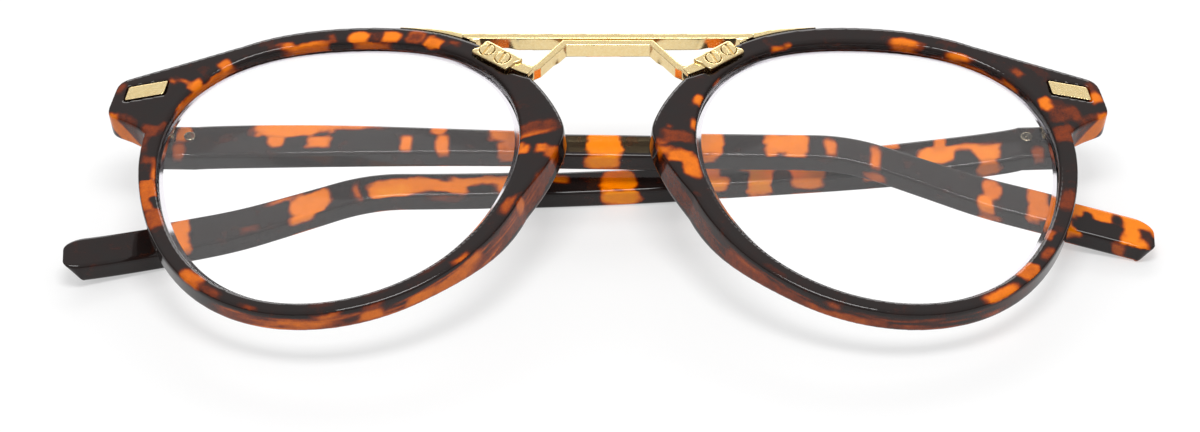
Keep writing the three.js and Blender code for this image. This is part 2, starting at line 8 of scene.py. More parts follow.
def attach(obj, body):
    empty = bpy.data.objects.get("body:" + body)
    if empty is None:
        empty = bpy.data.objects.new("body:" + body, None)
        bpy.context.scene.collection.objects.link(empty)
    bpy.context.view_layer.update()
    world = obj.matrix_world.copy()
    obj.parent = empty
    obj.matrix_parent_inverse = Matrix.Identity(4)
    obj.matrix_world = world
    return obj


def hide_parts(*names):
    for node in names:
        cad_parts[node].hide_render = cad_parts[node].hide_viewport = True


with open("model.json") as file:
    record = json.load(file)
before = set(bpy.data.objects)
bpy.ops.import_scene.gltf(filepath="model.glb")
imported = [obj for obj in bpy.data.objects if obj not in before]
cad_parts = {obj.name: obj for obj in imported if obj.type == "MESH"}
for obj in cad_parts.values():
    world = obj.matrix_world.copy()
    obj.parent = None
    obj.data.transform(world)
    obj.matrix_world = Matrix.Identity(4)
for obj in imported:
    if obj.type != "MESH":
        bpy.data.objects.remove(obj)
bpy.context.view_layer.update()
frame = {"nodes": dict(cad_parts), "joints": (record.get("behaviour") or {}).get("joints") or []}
mm = 0.001
noise.seed_set(5)  # the same patches on every run
print("frame loaded:", len(frame["nodes"]), "nodes")

# The front's own axes: X to the viewer's right, Y to the brow, Z out of the front, from the two hinges
frontPlan = {"hingeUp": 15.5, "hingeBack": 9.336, "lensCentre": 39.4, "wrap": 6.0}
hinge = {joint["child"]: joint for joint in frame["joints"]}
pin = {side: Vector(hinge[side + "_temple"]["pos_m"]) for side in ("left", "right")}
pinAxis = Vector(hinge["left_temple"]["axis"])
axisX = (pin["right"] - pin["left"]).normalized()
axisY = (pinAxis - axisX * pinAxis.dot(axisX)).normalized()
axisZ = axisX.cross(axisY)
frontFrame = Matrix((axisX, axisY, axisZ)).transposed().to_4x4()
hingeOffset = axisY * frontPlan["hingeUp"] - axisZ * frontPlan["hingeBack"]
frontFrame.translation = (pin["left"] + pin["right"]) / 2 - hingeOffset * mm
frontFrame = frontFrame @ Matrix.Scale(mm, 4)  # drawn in millimetres
mirrorX = Matrix.Scale(-1, 4, (1, 0, 0))
sideFrame = {"left": frontFrame, "right": frontFrame @ mirrorX}
rimTurn = Matrix.Rotation(-math.radians(frontPlan["wrap"]), 4, "Y")
rimPlace = Matrix.Translation((-frontPlan["lensCentre"], 0, 0)) @ rimTurn

# Camera, where the photograph was taken from: the chin side, above the lenses
shot = {"tilt": 44.0, "distance": 700.0, "target": (0, -1.25, 0), "pixelsPerMm": 6.94, "centre": (608.0, 172.5),
        "picture": (1200, 432), "sensor": 36.0, "clipStart": 0.01}
tilt = math.radians(shot["tilt"])
back = Vector((0, -math.sin(tilt), math.cos(tilt)))
up = Vector((0, math.cos(tilt), math.sin(tilt)))
camera = bpy.data.objects.new("shotCamera", bpy.data.cameras.new("shotCamera"))
bpy.context.scene.collection.objects.link(camera)
place = (Matrix((axisX, axisY, axisZ)).transposed() @ Matrix((Vector((1, 0, 0)), up, back)).transposed()).to_4x4()
place.translation = frontFrame @ (Vector(shot["target"]) + back * shot["distance"])
camera.matrix_world = place
wide, tall = shot["picture"]
camera.data.sensor_width = shot["sensor"]
camera.data.lens = shot["sensor"] * shot["pixelsPerMm"] * shot["distance"] / wide
camera.data.shift_x = (wide / 2 - shot["centre"][0]) / wide
camera.data.shift_y = (shot["centre"][1] - tall / 2) / wide
camera.data.clip_start = shot["clipStart"]
bpy.context.scene.camera = camera
print("camera set")


# Colours are written as sRGB hex
def paint(code):
    parts = [int(code[i:i + 2], 16) / 255 for i in (1, 3, 5)]
    return tuple(c / 12.92 if c <= 0.04045 else ((c + 0.055) / 1.055) ** 2.4 for c in parts) + (1.0,)


# Adds a node with its settings, and links each named input
def addNode(tree, kind, settings=None, links=None):
    made = tree.nodes.new(kind)
    for name, value in (settings or {}).items():
        if isinstance(name, int) or name in made.inputs:
            made.inputs[name].default_value = value
        else:
            setattr(made, name, value)
    for name, source in (links or {}).items():
        tree.links.new(source, made.inputs[name])
    return made


def newMaterial(name):
    material = bpy.data.materials.new(name)
    material.use_nodes = True
    material.node_tree.nodes.clear()
    return material, material.node_tree


def setRamp(ramp, stops):
    bar = ramp.color_ramp
    while len(bar.elements) > 1:
        bar.elements.remove(bar.elements[-1])
    bar.elements[0].position, bar.elements[0].color = stops[0][0], paint(stops[0][1])
    for at, code in stops[1:]:
        bar.elements.new(at).color = paint(code)


# Tortoiseshell plastic: near-black brown with poured amber patches that redden towards their edges, buffed to a gloss
tortoiseFinish = {"stops": ((0.0, "#1b1615"), (0.2, "#201412"), (0.31, "#431707"), (0.42, "#7e2f02"),
                            (0.54, "#b45200"), (0.68, "#de7000"), (0.84, "#f58200"), (1.0, "#ff9d00")),
                  "cloud": 1.1, "speck": 0.25, "waviness": 4.0,  # pattern sizes in mm
                  "drift": (0.16, -0.08), "grain": 0.1, "amber": (0.72, -0.03),  # what each adds to the ramp's input
                  "ripple": (0.12, 0.1), "roughness": (0.06, 0.04), "specular": 0.33}
acrylicIor = 1.49


def tortoiseshell():
    finish = tortoiseFinish
    material, tree = newMaterial("buffedTortoiseshellPlastic")
    spot = addNode(tree, "ShaderNodeTexCoord").outputs["Object"]
    amber = addNode(tree, "ShaderNodeAttribute", {"attribute_name": "amber"})
    cloud = addNode(tree, "ShaderNodeTexNoise", {"Scale": 1 / (finish["cloud"] * mm), "Detail": 3.0}, {"Vector": spot})
    speck = addNode(tree, "ShaderNodeTexNoise", {"Scale": 1 / (finish["speck"] * mm), "Detail": 2.0}, {"Vector": spot})
    drift = addNode(tree, "ShaderNodeMath",
                    {"operation": "MULTIPLY_ADD", 1: finish["drift"][0], 2: finish["drift"][1]},
                    {0: cloud.outputs["Fac"]})
    grain = addNode(tree, "ShaderNodeMath", {"operation": "MULTIPLY_ADD", 1: finish["grain"]},
                    {0: speck.outputs["Fac"], 2: drift.outputs[0]})
    stirred = addNode(tree, "ShaderNodeMath",
                      {"operation": "MULTIPLY_ADD", 1: finish["amber"][0], 2: finish["amber"][1]},
                      {0: amber.outputs["Fac"]})
    share = addNode(tree, "ShaderNodeMath", {"operation": "ADD"}, {0: stirred.outputs[0], 1: grain.outputs[0]})
    depth = addNode(tree, "ShaderNodeValToRGB", None, {"Fac": share.outputs[0]})
    setRamp(depth, finish["stops"])
    wave = addNode(tree, "ShaderNodeTexNoise", {"Scale": 1 / (finish["waviness"] * mm), "Detail": 1.0},
                   {"Vector": spot})
    strength, height = finish["ripple"]
    ripple = addNode(tree, "ShaderNodeBump", {"Strength": strength, "Distance": height * mm},
                     {"Height": wave.outputs["Fac"]})
    spread, least = finish["roughness"]
    buff = addNode(tree, "ShaderNodeMath", {"operation": "MULTIPLY_ADD", 1: spread, 2: least},
                   {0: cloud.outputs["Fac"]})
    shader = addNode(tree, "ShaderNodeBsdfPrincipled", {"IOR": acrylicIor, "Specular IOR Level": finish["specular"]},
                     {"Base Color": depth.outputs["Color"], "Roughness": buff.outputs[0], "Normal": ripple.outputs[0]})
    addNode(tree, "ShaderNodeOutputMaterial", None, {"Surface": shader.outputs[0]})
    return material


# Pale gold plating over polished metal, with the faint streaks that buffing leaves, and nickel silver, stamped and
# tumbled to a warm grey, for the hinges; pattern sizes in mm
goldFinish = {"name": "polishedPaleGoldPlating", "pattern": 0.5, "roughness": (0.04, 0.15),
              "tones": ((0.3, "#efd398"), (0.7, "#f5dfaa"))}
nickelFinish = {"name": "tumbledNickelSilver", "pattern": 0.4, "roughness": (0.18, 0.16),
                "tones": ((0.3, "#bcae93"), (0.7, "#d2c6ad"))}


def brightMetal(finish):
    material, tree = newMaterial(finish["name"])
    spot = addNode(tree, "ShaderNodeTexCoord").outputs["Object"]
    streak = addNode(tree, "ShaderNodeTexNoise", {"Scale": 1 / (finish["pattern"] * mm), "Detail": 3.0},
                     {"Vector": spot})
    spread, least = finish["roughness"]
    buff = addNode(tree, "ShaderNodeMath", {"operation": "MULTIPLY_ADD", 1: spread, 2: least},
                   {0: streak.outputs["Fac"]})
    tone = addNode(tree, "ShaderNodeValToRGB", None, {"Fac": streak.outputs["Fac"]})
    setRamp(tone, finish["tones"])
    shader = addNode(tree, "ShaderNodeBsdfPrincipled", {"Metallic": 1.0},
                     {"Base Color": tone.outputs["Color"], "Roughness": buff.outputs[0]})
    addNode(tree, "ShaderNodeOutputMaterial", None, {"Surface": shader.outputs[0]})
    return material


# Moulded clear acrylic: lets light and shadow rays through, and mirrors a little of the room
def clearAcrylic(name, tint, roughness):
    material, tree = newMaterial(name)
    shader = addNode(tree, "ShaderNodeBsdfPrincipled",
                     {"Base Color": paint(tint), "Roughness": roughness, "IOR": acrylicIor, "Transmission Weight": 1.0})
    passing = addNode(tree, "ShaderNodeBsdfTransparent")
    path = addNode(tree, "ShaderNodeLightPath")
    light = addNode(tree, "ShaderNodeMath", {"operation": "MAXIMUM"},
                    {0: path.outputs["Is Shadow Ray"], 1: path.outputs["Is Diffuse Ray"]})
    mixed = addNode(tree, "ShaderNodeMixShader", None,
                    {0: light.outputs[0], 1: shader.outputs[0], 2: passing.outputs[0]})
    addNode(tree, "ShaderNodeOutputMaterial", None, {"Surface": mixed.outputs[0]})
    return material


tortoise, gold, steel = tortoiseshell(), brightMetal(goldFinish), brightMetal(nickelFinish)
lensClear = clearAcrylic("mouldedClearAcrylic", "#ffffff", 0.0)
lensGround = clearAcrylic("finelyGroundLensEdge", "#f3eef6", 0.12)
print("materials made")

weldGap = 0.002 * mm  # points nearer than this are joined


def deselectAll():
    if bpy.context.object and bpy.context.object.mode != "OBJECT":
        bpy.ops.object.mode_set(mode="OBJECT")
    bpy.ops.object.select_all(action="DESELECT")


def activate(piece):
    deselectAll()
    piece.select_set(True)
    bpy.context.view_layer.objects.active = piece


def applyModifier(piece, kind, **settings):
    activate(piece)
    modifier = piece.modifiers.new(kind.lower(), kind)
    for name, value in settings.items():
        setattr(modifier, name, value)
    bpy.ops.object.modifier_apply(modifier=modifier.name)


# Joins the seams of a shape, closes its open ends and turns its faces outward
def closeShape(piece):
    activate(piece)
    bpy.ops.object.mode_set(mode="EDIT")
    bpy.ops.mesh.select_mode(type="VERT")
    bpy.ops.mesh.select_all(action="SELECT")
    bpy.ops.mesh.remove_doubles(threshold=weldGap)
    bpy.ops.mesh.select_all(action="DESELECT")
    bpy.ops.mesh.select_non_manifold(extend=False, use_wire=False, use_multi_face=False, use_non_contiguous=False,
                                     use_verts=False)
    bpy.ops.mesh.fill_holes(sides=0)
    bpy.ops.mesh.select_all(action="SELECT")
    bpy.ops.mesh.normals_make_consistent(inside=False)
    bpy.ops.object.mode_set(mode="OBJECT")


# A merged copy of a solid, to be finished as the piece that stands for it
def copyOf(node, name):
    mesh = frame["nodes"][node].data.copy()
    mesh.name = name
    mesh.materials.clear()
    piece = bpy.data.objects.new(name, mesh)
    bpy.context.scene.collection.objects.link(piece)
    activate(piece)
    bpy.ops.object.mode_set(mode="EDIT")
    bpy.ops.mesh.select_all(action="SELECT")
    bpy.ops.mesh.remove_doubles(threshold=weldGap)
    bpy.ops.object.mode_set(mode="OBJECT")
    return piece


# A grid wrapped into a shape: place() takes the shares across and along, and gives the point
def wrapGrid(name, across, along, place):
    deselectAll()
    bpy.ops.mesh.primitive_grid_add(x_subdivisions=across, y_subdivisions=along, size=1)
    piece = bpy.context.object
    piece.name = piece.data.name = name
    for vertex in piece.data.vertices:
        vertex.co = place(vertex.co.x + 0.5, vertex.co.y + 0.5)
    closeShape(piece)
    return piece


def smoothOver(piece, passes):
    applyModifier(piece, "SMOOTH", factor=0.5, iterations=passes)
    activate(piece)
    bpy.ops.object.shade_smooth()


# Rounds a copy over all its edges, as tumbling does
def tumble(piece, grain, passes):
    applyModifier(piece, "REMESH", mode="VOXEL", voxel_size=grain * mm)
    smoothOver(piece, passes)


def finishPiece(piece, materials, body, node):
    for material in materials:
        piece.data.materials.append(material)
    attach(piece, body)
    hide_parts(node)


def pointsIn(piece, matrix):
    count = len(piece.data.vertices)
    flat = np.empty(count * 3)
    piece.data.vertices.foreach_get("co", flat)
    turn = np.array(matrix.inverted())
    return flat.reshape(-1, 3) @ turn[:3, :3].T + turn[:3, 3]


def setPoints(piece, points, matrix):
    turn = np.array(matrix)
    piece.data.vertices.foreach_set("co", (points @ turn[:3, :3].T + turn[:3, 3]).ravel())
    piece.data.update()


def easeBetween(value, low, high):
    share = np.clip((value - low) / (high - low), 0, 1)
    return share * share * (3 - 2 * share)


# Patch edges wander and fray, as poured colour does: for each the size in mm and the plane of its noise, and the shift
# in mm along and across; then shares of both for the tearing and, after its level, for the dark ground
patchEdge = {"wander": (2.6, 3.7), "wanderShift": (0.6, 0.42), "fray": (0.8, 8.1), "frayShift": (0.12, 0.1),
             "tear": (0.32, 0.12), "ground": (0.16, 0.2, 0.1), "squareness": 3.6, "shrink": 1.12,
             "soft": 0.5, "softOut": 0.6}


def wanderOver(along, across, size, plane):
    return np.array([noise.noise_vector((a / size, t / size, plane)) for a, t in zip(along, across)])


# Lays patches (along, across, half length, half width, level) over a surface
def layPatches(along, across, mmPerAlong, patches, lift):
    wander = wanderOver(along * mmPerAlong, across, *patchEdge["wander"])
    fray = wanderOver(along * mmPerAlong, across, *patchEdge["fray"])
    wanderLong, wanderWide = patchEdge["wanderShift"]
    frayLong, frayWide = patchEdge["frayShift"]
    a = along + (wander[:, 0] * wanderLong + fray[:, 0] * frayLong) / mmPerAlong
    t = across + wander[:, 1] * wanderWide + fray[:, 1] * frayWide
    torn = 1 + patchEdge["tear"][0] * wander[:, 2] + patchEdge["tear"][1] * fray[:, 2]
    ground, broad, fine = patchEdge["ground"]
    amber = ground + broad * wander[:, 2] + fine * fray[:, 2]
    power = patchEdge["squareness"]
    for atAlong, atAcross, halfLong, halfWide, level in patches:
        offLong, offWide = np.abs((a - atAlong) / halfLong), np.abs((t - atAcross) / halfWide)
        away = (offLong ** power + offWide ** power) ** (1 / power) * torn / patchEdge["shrink"]
        soft = patchEdge["soft"] / min(halfLong * mmPerAlong, halfWide)
        amber += (level * lift - amber) * (1 - easeBetween(away, 1 - soft, 1 + soft * patchEdge["softOut"]))
    return amber


def storeAmber(piece, amber):
    layer = piece.data.attributes.new("amber", "FLOAT", "POINT")
    layer.data.foreach_set("value", amber.astype(np.float32))


# Rims: waves of the opening and the wall as height, count and place in degrees, the rest in mm and degrees
rimShape = {"radius": 26.35, "rise": (0.67, 1, 112), "oval": (0.39, 2, 24), "triad": (1.0, 3, 22),
            "square": (0.41, 4, 45), "wall": 3.0, "wallRise": (0.4, 1, 60), "swell": 3.35, "swellAt": 7.5,
            "swellSoft": 3, "swellUp": (36, 1.8), "swellDown": (22, 1.25), "depth": 3.6,
            "padAt": -20, "padSpan": 42, "padDepth": 5.5, "curveFade": 1.0,
            "endFrom": 0.15, "endBevel": 0.4, "endBack": (4.2, 4.7), "backFade": 0.4, "mmPerDegree": 0.49,
            "patchLift": 0.81, "grain": 0.202, "passes": 7, "stations": 72}


def waveOf(angle, key):
    height, times, at = rimShape[key]
    return height * np.cos(times * (angle - math.radians(at)))


def bump(turn, span):
    return np.where(np.abs(turn) < span, 0.5 + 0.5 * np.cos(np.pi * turn / span), 0)


def turnFrom(angle, at):
    return (np.degrees(angle) - at + 180) % 360 - 180


def openingAt(angle):
    return rimShape["radius"] + sum(waveOf(angle, key) for key in ("rise", "oval", "triad", "square"))


def wallAt(angle):
    turn = turnFrom(angle, rimShape["swellAt"])
    span, fall = (np.where(turn > 0, rimShape["swellUp"][i], rimShape["swellDown"][i]) for i in (0, 1))
    swell = np.maximum(0, 1 - (np.hypot(turn, rimShape["swellSoft"]) - rimShape["swellSoft"]) / span) ** fall
    return rimShape["wall"] + waveOf(angle, "wallRise") + rimShape["swell"] * swell


# The solid runs in straight steps round the opening: this brings it out to the true curve
def roundOut(points):
    angle = np.arctan2(points[:, 1], points[:, 0])
    reach = np.hypot(points[:, 0], points[:, 1])
    step = 2 * np.pi / rimShape["stations"]
    low = np.floor(angle / step) * step
    scale = np.ones(len(points))
    share = np.clip((reach - openingAt(angle)) / wallAt(angle), 0, 1)
    for outline, weight in ((openingAt, 1 - share), (lambda turn: openingAt(turn) + wallAt(turn), share)):
        near, far = outline(low), outline(low + step)
        chord = near * far * np.sin(step) / (near * np.sin(angle - low) + far * np.sin(low + step - angle))
        scale += weight * (outline(angle) / chord - 1)
    fade = 1 - easeBetween(reach - openingAt(angle) - wallAt(angle), 0, rimShape["curveFade"])
    scale = 1 + (scale - 1) * fade
    return np.column_stack((points[:, 0] * scale, points[:, 1] * scale, points[:, 2]))


# Places on a rim: degrees from the nose side towards the brow, and mm across, from the inner wall (below 0) over the
# front to the outer wall. The amber on the lower outer walls, from about -135 to -40 degrees and beyond about 4 mm
# across, is partly the plastic's own and partly painted glow of light coming up through it
rimPatches = {
    "left": [
        (-174, 1.4, 8, 1.5, 0.92), (-163, 1.5, 4.6, 1.4, 0.76), (-170, 0.3, 2.6, 1.1, 0.05),
        (-134.5, 1.9, 4.2, 1.4, 0.98), (-127, 1.8, 4.5, 0.8, 0.6), (-113, 2.2, 3, 0.5, 0.66),
        (-92, 0.6, 4, 0.7, 0.46), (-75, 0.6, 5, 0.6, 0.42), (-115, 4.9, 11, 1.3, 0.66), (-85, 5.7, 42, 0.7, 0.6),
        (-98, 4.6, 12, 0.7, 1.05), (-90.5, 3.4, 3.4, 0.6, 1.0), (-77, 3.4, 3.5, 0.6, 0.74), (-77, 4.8, 4, 1.0, 1.1),
        (-62, 5.0, 5, 1.0, 1.12), (-55, 0.7, 6, 0.6, 0.46), (-48, 6.4, 13, 1.3, 0.74), (-52, 5.2, 8, 1.1, 1.0),
        # (-19, 4.6) is a painted glint of light refracted in the nose pad's side wall; (-22, 6.0) gives that wall a mid
        # amber that is partly its own and partly painted glow and reflection
        (-44, 4.4, 5, 0.9, 1.05), (-47, 2.4, 3.4, 0.6, 0.95), (-22, 6.0, 17, 2.2, 0.6), (-19, 4.6, 1.8, 1.2, 1.05),
        (-20, 1.9, 5.5, 0.9, 0.78), (-2, 6.9, 3, 1.6, 0.62), (9.5, 2.9, 2.8, 2.9, 0.58), (2.6, 0.8, 2.0, 1.0, 1.12),
        (1.4, 3.7, 1.6, 0.9, 1.05), (0, 5.2, 2.2, 1.2, 0.9), (7, 2.0, 0.8, 2.2, 1.0), (4.4, 2.3, 1.3, 1.2, 0.05),
        (-12, 1.6, 6, 1.4, 0.05), (54.5, 1.9, 2.2, 0.5, 0.72), (60, 0.9, 2.6, 1.3, 1.15), (66.5, 1.5, 3.0, 1.3, 0.8),
        (66.5, 1.3, 1.6, 0.7, 0.6), (74, 1.2, 3.3, 1.1, 1.28), (79, 1.2, 2, 1.1, 0.5), (85, 1.0, 3.0, 1.15, 1.38),
        (93.3, 1.2, 1.4, 0.8, 0.68), (80, -0.9, 7.5, 0.9, 0.92), (102, -1.0, 8.5, 1.0, 0.95),
        (102, 0.2, 8.5, 0.5, 1.25), (107.5, 0.8, 2, 0.7, 1.1), (110.5, 1.2, 2, 0.4, 0.72), (137, -1.5, 13, 1.3, 1.0),
        (90.5, -0.6, 3.2, 0.8, 0.05), (117, -0.8, 6.5, 0.9, 0.05), (68, -0.7, 5, 0.6, 0.05), (52, -2.0, 9, 0.8, 0.58),
        (70, -2.0, 9, 0.6, 0.6), (127.3, 0.4, 2.3, 1.4, 1.1), (138.3, 0.5, 2.4, 1.1, 1.2),
        (139.6, 2.4, 0.9, 1.4, 0.95), (141.5, 4.0, 1.1, 0.8, 0.85), (157.5, 0.6, 2.2, 0.8, 0.6),
        (160, 2.0, 2.2, 1.6, 0.62), (165, 2.4, 4, 0.7, 0.58), (172, 1.3, 1.3, 1.2, 0.64), (177, 0.1, 4, 0.6, 1.0),
        (149.5, 10.0, 2.0, 0.7, 0.6), (159.5, 6.5, 3.2, 2.0, 0.52), (160.5, 10.2, 3.2, 2.0, 1.12)],
    "right": [
        (-172, 1.6, 5, 1.2, 0.62), (-155, 0.5, 2.2, 1.0, 0.85), (-147.5, 1.8, 3, 0.8, 0.7),
        (-153.5, 2.0, 2.2, 0.7, 0.05), (-137.5, 1.2, 3.6, 1.6, 0.98), (-125, 1.95, 6, 1.0, 1.15),
        (-121, 0.2, 5, 0.7, 0.46), (-131, 4.2, 9, 0.9, 0.46), (-122, 5.2, 5, 0.6, 0.72), (-103, 4.6, 5, 0.5, 0.46),
        (-84, 5.0, 8, 0.8, 0.6), (-74, 5.6, 15, 1.0, 0.8), (-74, 3.7, 2.5, 0.6, 0.74), (-50, 6.0, 15, 1.8, 0.64),
        # (-18, 7.2) gives the nose pad's side wall a mid amber that is partly its own and partly painted glow and
        # reflection
        (-45, 4.8, 6, 0.5, 0.78), (-54, 2.2, 4, 0.55, 0.46), (-18, 7.2, 16, 2.3, 0.54), (-5.5, 1.8, 4.6, 1.2, 1.1),
        (-1.5, 3.4, 2.2, 1.6, 1.1), (1, 5.4, 1.3, 1.6, 1.05), (5.8, 3.0, 2.4, 2.2, 0.62), (3.5, 5.2, 1, 0.8, 0.8),
        (9.6, 4.1, 1.0, 0.55, 0.7), (12, 0.6, 2.2, 0.6, 1.1), (22.3, 0.7, 2.2, 0.8, 1.18), (33, -0.5, 2, 0.5, 0.82),
        (57.5, 0, 2, 0.8, 1.1), (61, 0.3, 1.2, 0.8, 1.0), (85, -2.0, 26, 0.5, 0.56), (100.3, 0.5, 5.2, 0.9, 1.18),
        (100, -0.9, 4.2, 0.8, 0.95), (117.6, -0.3, 4.3, 0.9, 1.28), (124, -2.0, 13, 0.8, 0.9),
        (136, -1.2, 3.5, 0.9, 0.95), (134.8, 2.2, 2.0, 0.8, 0.72), (149, 1.6, 2.7, 1.2, 1.18),
        (154, 2.4, 2.4, 1.6, 0.56), (161, 1.6, 3, 1.7, 0.62), (155, 4.6, 2.6, 0.9, 0.62), (150, 3.5, 2, 1.0, 0.48),
        (138, 5.0, 4, 0.8, 0.42), (148.5, 9.4, 2, 0.8, 0.58), (152, 9.2, 1.8, 0.9, 1.15),
        (159.5, 6.5, 3.2, 2.0, 0.52), (160.5, 10.2, 3.2, 2.2, 1.22)],
}

# The lower outer walls show long amber streaks, partly the plastic's own and partly painted glow of light coming up
# through
# it: their level and how much it varies on each side, where they fade in and out along the rim and down the wall, and
# their size along and across
rimStreaksAndGlow = {"left": (0.52, 0.5), "right": (0.36, 0.36), "fadeIn": (-128, -114), "fadeOut": (-16, -6),
              "downWall": (0.5, 1.1), "size": (13, 0.5), "plane": 2.2}


def paintRim(rim, side):
    points = pointsIn(rim, sideFrame[side] @ rimPlace)
    angle = np.arctan2(points[:, 1], points[:, 0])
    degrees = np.degrees(angle)
    out = np.hypot(points[:, 0], points[:, 1]) - openingAt(angle)
    wall = wallAt(angle)
    deep = np.maximum(0, -points[:, 2])
    pad = bump(turnFrom(angle, rimShape["padAt"]), rimShape["padSpan"])
    behind = rimShape["depth"] + (rimShape["padDepth"] - rimShape["depth"]) * pad
    across = np.where(out < np.minimum(deep, wall - out), -deep, np.where(wall - out < deep, wall + deep, out))
    onEnd = out > wall + rimShape["endFrom"]
    across = np.where(onEnd, out + np.maximum(0, deep - rimShape["endBevel"]), across)
    laid = rimShape["mmPerDegree"], rimPatches[side], rimShape["patchLift"]
    amber = layPatches(degrees, across, *laid)
    # Streaks on the lower outer walls: partly amber of their own, partly painted glow of light coming up through the
    # plastic
    length, width = rimStreaksAndGlow["size"]
    flow = np.array([noise.noise((d / length, c / width, rimStreaksAndGlow["plane"])) for d, c in zip(degrees, across)])
    ends = easeBetween(degrees, *rimStreaksAndGlow["fadeIn"]) * (1 - easeBetween(degrees, *rimStreaksAndGlow["fadeOut"]))
    streakAndGlowMask = ends * easeBetween(across - wall, *rimStreaksAndGlow["downWall"]) * ~onEnd
    level, spread = rimStreaksAndGlow[side]
    amber += (np.maximum(amber, level + spread * flow) - amber) * streakAndGlowMask
    through = layPatches(degrees, out, *laid)
    toBack = easeBetween(deep, behind - rimShape["backFade"], behind)
    toBack = np.where(onEnd, easeBetween(deep, *rimShape["endBack"]), toBack)
    storeAmber(rim, amber + (through - amber) * toBack)


for side in ("left", "right"):
    rim = copyOf(side + "_rim", side + "RimShell")
    applyModifier(rim, "REMESH", mode="VOXEL", voxel_size=rimShape["grain"] * mm)
    setPoints(rim, roundOut(pointsIn(rim, sideFrame[side] @ rimPlace)), sideFrame[side] @ rimPlace)
    smoothOver(rim, rimShape["passes"])
    paintRim(rim, side)
    finishPiece(rim, [tortoise], "front", side + "_rim")
print("rims made")

# Lenses, with a ground bevel round the front: heights from the rim's front, and distances out from its opening
lensShape = {"front": -1.6, "back": -2.9, "middle": -2.25, "frontSag": 1.6, "backSag": 1.2, "slack": 0.25,
             "tongue": 0.475, "bevel": 0.5, "bevelDrop": 0.2, "frontShare": 0.968, "rings": 22, "stations": 180,
             "bevelInside": 0.02, "aboveBack": 0.1, "smooth": 15}
bevelFrom = -lensShape["slack"] - lensShape["bevel"]


def domeAt(share, low, sag):
    return low + sag * (1 - share * share)


def lensProfile():
    rings = lensShape["rings"]
    profile = []
    for i in range(rings + 1):
        share = i / rings
        front = domeAt(share * lensShape["frontShare"], lensShape["front"], lensShape["frontSag"])
        profile.append((share, bevelFrom, front))
    profile.append((1.0, -lensShape["slack"], lensShape["front"] - lensShape["bevelDrop"]))
    profile.append((1.0, lensShape["tongue"], lensShape["middle"]))
    for i in range(rings + 1):
        share = 1 - i / rings
        profile.append((share, -lensShape["slack"], domeAt(share, lensShape["back"], lensShape["backSag"])))
    return profile


for side in ("left", "right"):
    profile = lensProfile()
    lensFrame = sideFrame[side] @ rimPlace

    def onLens(u, v):
        share, out, w = profile[round(u * (len(profile) - 1))]
        angle = v * 2 * math.pi
        reach = share * (float(openingAt(angle)) + out)
        return lensFrame @ Vector((reach * math.cos(angle), reach * math.sin(angle), w))

    lens = wrapGrid(side + "LensBlank", len(profile) - 1, lensShape["stations"], onLens)
    finishPiece(lens, [lensClear, lensGround], "front", side + "_lens")
    spots = pointsIn(lens, lensFrame)
    for face in lens.data.polygons:
        middle = spots[list(face.vertices)].mean(axis=0)
        edge = math.hypot(middle[0], middle[1]) - float(openingAt(math.atan2(middle[1], middle[0])))
        aboveBack = middle[2] > lensShape["back"] + lensShape["aboveBack"]
        face.material_index = 1 if edge > bevelFrom + lensShape["bevelInside"] and aboveBack else 0
    activate(lens)
    bpy.ops.object.shade_smooth_by_angle(angle=math.radians(lensShape["smooth"]))
print("lenses made")

# Temples, measured from the hinge; their patchLift, above the rims', brightens the amber as painted glow of light
# passing through them where the front shades them
templeShape = {"length": 146.5, "thick": 3.2, "drop": 0.6, "inset": 1.2, "butt": 1.25, "mitre": 8,
               "mitreFade": (-1.2, 2.5), "heights": (6.3, 4.7, 6.0), "rootEnd": 14, "middle": (58, 92),
               "tipFrom": 132, "edge": 0.6,
               "tipRound": 3, "tipBlunt": 0.45, "tipMitre": 38, "hookLead": 36.24, "hookBend": 10, "hookRun": 10,
               "hookRelax": 8, "steep": 0.42, "slope": 0.29, "bowFrom": 6, "fullness": 0.75,
               "lean": {"left": 1.45, "right": 2.7}, "bow": {"left": -1.5, "right": 4.7}, "stations": 420,
               "tipStations": 14, "cornerSteps": 6, "tallSteps": 18, "deepSteps": 9, "patchLift": 1.12,
               "backFade": (2.4, 3.1), "smooth": 40}
hookFrom = (pin["right"] - pin["left"]).length / mm - templeShape["hookLead"]
hookEase = hookFrom + templeShape["hookBend"] + templeShape["hookRun"]


def heightAt(s):
    root, middle, tip = templeShape["heights"]
    taper = root + (middle - root) * easeBetween(s, templeShape["rootEnd"], templeShape["middle"][0])
    return taper + (tip - middle) * easeBetween(s, templeShape["middle"][1], templeShape["tipFrom"])


def rampFrom(s, start, length):
    run = np.clip(s - start, 0, length)
    return run ** 2 / (2 * length) + np.maximum(0, s - start - length)


def hookAt(s):
    ease = (templeShape["steep"] - templeShape["slope"]) * rampFrom(s, hookEase, templeShape["hookRelax"])
    return templeShape["steep"] * rampFrom(s, hookFrom, templeShape["hookBend"]) - ease


def bowAt(s, bow):
    share = np.maximum(0, (s - templeShape["bowFrom"]) / (templeShape["length"] - templeShape["bowFrom"]))
    return bow * np.maximum(0, 4 * share * (1 - share)) ** templeShape["fullness"]


